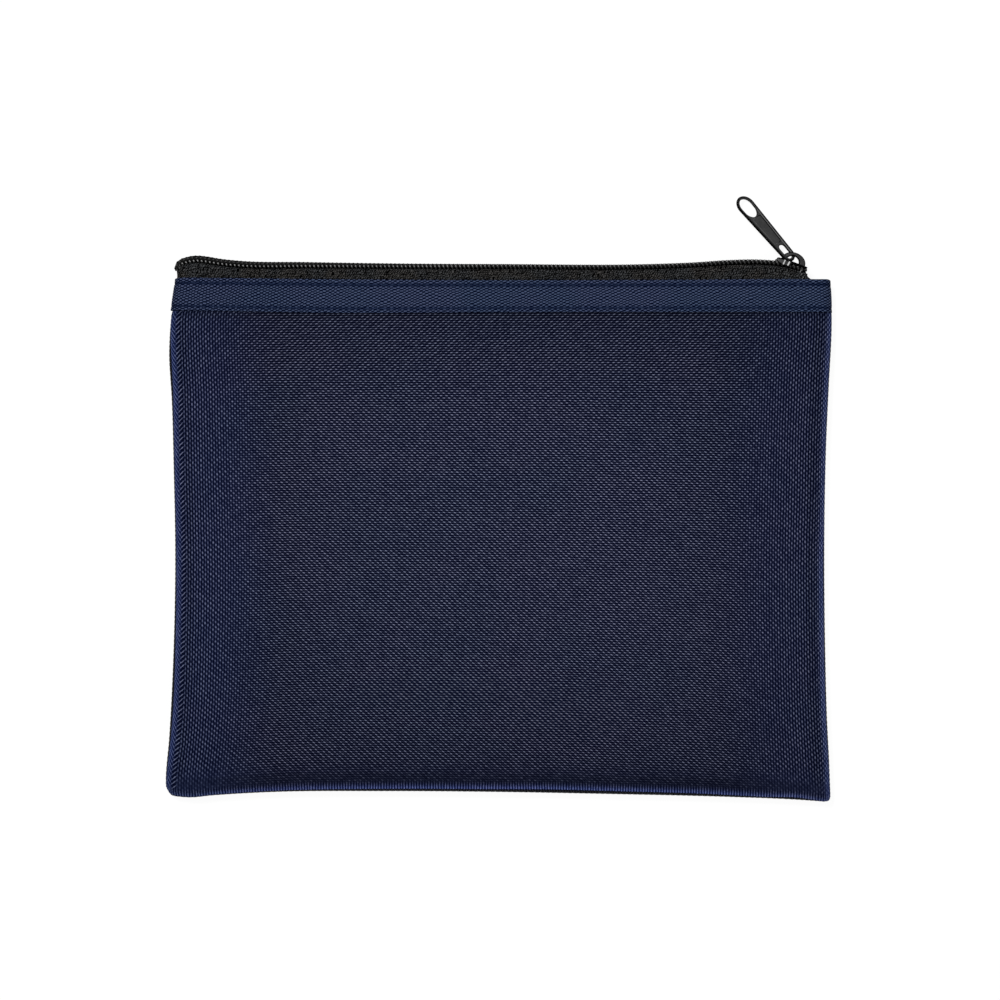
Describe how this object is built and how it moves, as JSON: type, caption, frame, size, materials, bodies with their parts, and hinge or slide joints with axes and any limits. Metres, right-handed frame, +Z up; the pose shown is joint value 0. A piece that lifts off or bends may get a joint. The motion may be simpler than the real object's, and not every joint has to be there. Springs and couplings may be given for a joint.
{
  "type": "zip document wallet",
  "caption": "Flat soft wallet of woven mesh, closed along its top by a coil zip with a metal slider and a long pull tab, for keeping papers and small things together.",
  "frame": {"origin": "underside of the back panel, under the middle of the wallet as it lies flat", "axes": "+X along the zip towards its closed end, +Y from the bottom seam to the zip, +Z up from the back panel to the front panel"},
  "size_m": [0.2318, 0.2114, 0.0102],
  "materials": {
    "mesh": "open plain weave",
    "webbing": "ribbed weave",
    "thread": "twisted thread",
    "binding": "plain tape",
    "zip_tape": "fine twill",
    "coil": "nylon",
    "coil_cord": "cord",
    "slider_metal": "dark satin",
    "tab_metal": "dark satin"
  },
  "bodies": {
    "pouch": {"front_mesh_panel": "mesh", "back_mesh_panel": "mesh", "front_webbing": "webbing", "back_webbing": "webbing", "front_upper_stitching": "thread", "front_lower_stitching": "thread", "back_upper_stitching": "thread", "back_lower_stitching": "thread", "left_seam_binding": "binding", "bottom_seam_binding": "binding", "right_seam_binding": "binding", "left_seam_stitching": "thread", "bottom_seam_stitching": "thread", "right_seam_stitching": "thread", "front_zip_tape": "zip_tape", "back_zip_tape": "zip_tape", "front_coil": "coil", "back_coil": "coil", "front_coil_cord": "coil_cord", "back_coil_cord": "coil_cord", "right_bar_tack": "thread"},
    "slider": {"slider_body": "slider_metal"},
    "tab": {"pull_tab": "tab_metal"}
  },
  "joints": [
    {"name": "zip_slide", "type": "slide", "parent": "pouch", "child": "slider", "axis": [1, 0, 0], "range_m": [-0.193, 0]},
    {"name": "tab_swing", "type": "hinge", "parent": "slider", "child": "tab", "pos_m": [0.1026, 0.08365, 0.0051], "axis": [0, 0, 1], "range_deg": [-98, 20]}
  ]
}
